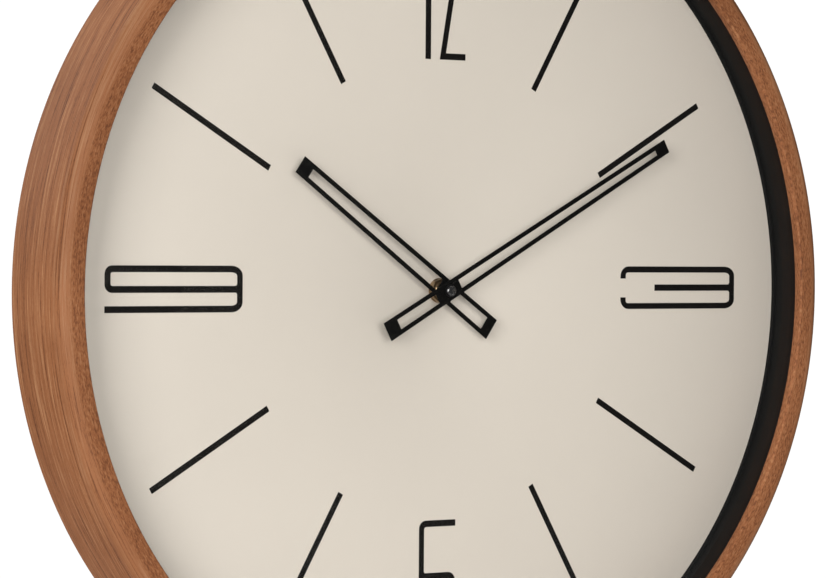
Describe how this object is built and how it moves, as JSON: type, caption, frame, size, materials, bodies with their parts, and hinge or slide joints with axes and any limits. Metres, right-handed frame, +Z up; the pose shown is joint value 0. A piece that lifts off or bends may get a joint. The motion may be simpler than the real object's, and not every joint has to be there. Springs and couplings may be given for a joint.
{
  "type": "wall clock",
  "caption": "Round analogue quartz wall clock with a bent-wood case, black spacer ring, ivory dial and black skeleton hands.",
  "frame": {"origin": "centre of the hanger's round keyhole entry, on the hanger's wall-side face", "axes": "+Z up towards 12 o'clock, dial facing -Y, +X to the viewer's right (3 o'clock)"},
  "size_m": [0.4, 0.0414, 0.4],
  "materials": {
    "walnut_veneer": "satin lacquered walnut veneer with open grain",
    "clear_glass": "clear flat mineral glass",
    "ring_black": "matt black plastic",
    "dial_ivory": "warm ivory silk paint with black print",
    "fibreboard": "raw fibreboard",
    "zinc_steel": "zinc-plated steel",
    "shell_black": "moulded black plastic",
    "brass": "turned brass",
    "rubber_black": "soft black rubber",
    "bridge_plastic": "moulded off-white plastic",
    "rotor_magnet": "dark sintered magnet with a moulded pinion",
    "gear_plastic": "natural acetal",
    "knob_plastic": "knurled black plastic",
    "soft_iron": "laminated soft iron",
    "bobbin_plastic": "moulded black plastic",
    "copper_wire": "enamelled copper wire, close wound",
    "circuit_board": "green circuit board",
    "crystal_can": "bright metal can",
    "chip_epoxy": "black epoxy blob",
    "battery_wrap": "plain printed battery sleeve",
    "contact_nickel": "nickel-plated spring steel",
    "hand_black": "matt black lacquered sheet",
    "cap_black": "gloss black"
  },
  "bodies": {
    "root": {"case_hoop": "walnut_veneer", "front_glass": "clear_glass", "spacer_ring": "ring_black", "dial_plate": "dial_ivory", "backing_board": "fibreboard", "retaining_clips": "zinc_steel", "clip_screws": "zinc_steel", "hanger_bracket": "zinc_steel", "hanger_screws": "zinc_steel", "movement_front_shell": "shell_black", "movement_back_shell": "shell_black", "threaded_bush": "brass", "rubber_washer": "rubber_black", "brass_washer": "brass", "hex_nut": "brass", "train_bridge": "bridge_plastic", "bridge_screws": "zinc_steel", "stator_plate": "soft_iron", "coil_core": "soft_iron", "coil_bobbin": "bobbin_plastic", "coil_winding": "copper_wire", "circuit_board": "circuit_board", "quartz_crystal": "crystal_can", "control_chip": "chip_epoxy", "aa_battery": "battery_wrap", "positive_contact": "contact_nickel", "negative_contact": "contact_nickel"},
    "minute_hand_group": {"cannon_pinion": "brass", "minute_hand": "hand_black", "cap_nut": "cap_black"},
    "hour_hand_group": {"hour_wheel": "gear_plastic", "hour_hand": "hand_black"},
    "setting_group": {"minute_wheel": "gear_plastic", "setting_knob": "knob_plastic"},
    "rotor_group": {"rotor": "rotor_magnet"},
    "intermediate_group": {"intermediate_wheel": "gear_plastic"},
    "seconds_group": {"seconds_wheel": "gear_plastic"},
    "third_group": {"third_wheel": "gear_plastic"},
    "centre_group": {"centre_wheel": "gear_plastic"}
  },
  "joints": [
    {"name": "minute_hand_turn", "type": "hinge", "parent": "root", "child": "minute_hand_group", "pos_m": [0, -0.0178, -0.15], "axis": [0, 1, 0], "continuous": true},
    {"name": "hour_hand_turn", "type": "hinge", "parent": "root", "child": "hour_hand_group", "pos_m": [0, -0.0178, -0.15], "axis": [0, 1, 0], "continuous": true},
    {"name": "setting_knob_turn", "type": "hinge", "parent": "root", "child": "setting_group", "pos_m": [-0.0054, -0.0178, -0.14065], "axis": [0, 1, 0], "continuous": true},
    {"name": "rotor_turn", "type": "hinge", "parent": "root", "child": "rotor_group", "pos_m": [0.01108, -0.0178, -0.13981], "axis": [0, 1, 0], "continuous": true},
    {"name": "intermediate_turn", "type": "hinge", "parent": "root", "child": "intermediate_group", "pos_m": [0.0045, -0.0178, -0.14221], "axis": [0, 1, 0], "continuous": true},
    {"name": "seconds_turn", "type": "hinge", "parent": "root", "child": "seconds_group", "pos_m": [0, -0.0178, -0.15], "axis": [0, 1, 0], "continuous": true},
    {"name": "third_turn", "type": "hinge", "parent": "root", "child": "third_group", "pos_m": [-0.0102, -0.0178, -0.15], "axis": [0, 1, 0], "continuous": true},
    {"name": "centre_turn", "type": "hinge", "parent": "root", "child": "centre_group", "pos_m": [0, -0.0178, -0.15], "axis": [0, 1, 0], "continuous": true}
  ],
  "couplings": [
    {"joint": "hour_hand_turn", "follows": "minute_hand_turn", "ratio": 0.083333},
    {"joint": "setting_knob_turn", "follows": "minute_hand_turn", "ratio": -0.33333},
    {"joint": "intermediate_turn", "follows": "rotor_turn", "ratio": -0.16667},
    {"joint": "seconds_turn", "follows": "rotor_turn", "ratio": 0.033333},
    {"joint": "third_turn", "follows": "rotor_turn", "ratio": -0.0044444},
    {"joint": "centre_turn", "follows": "rotor_turn", "ratio": 0.00055556}
  ]
}
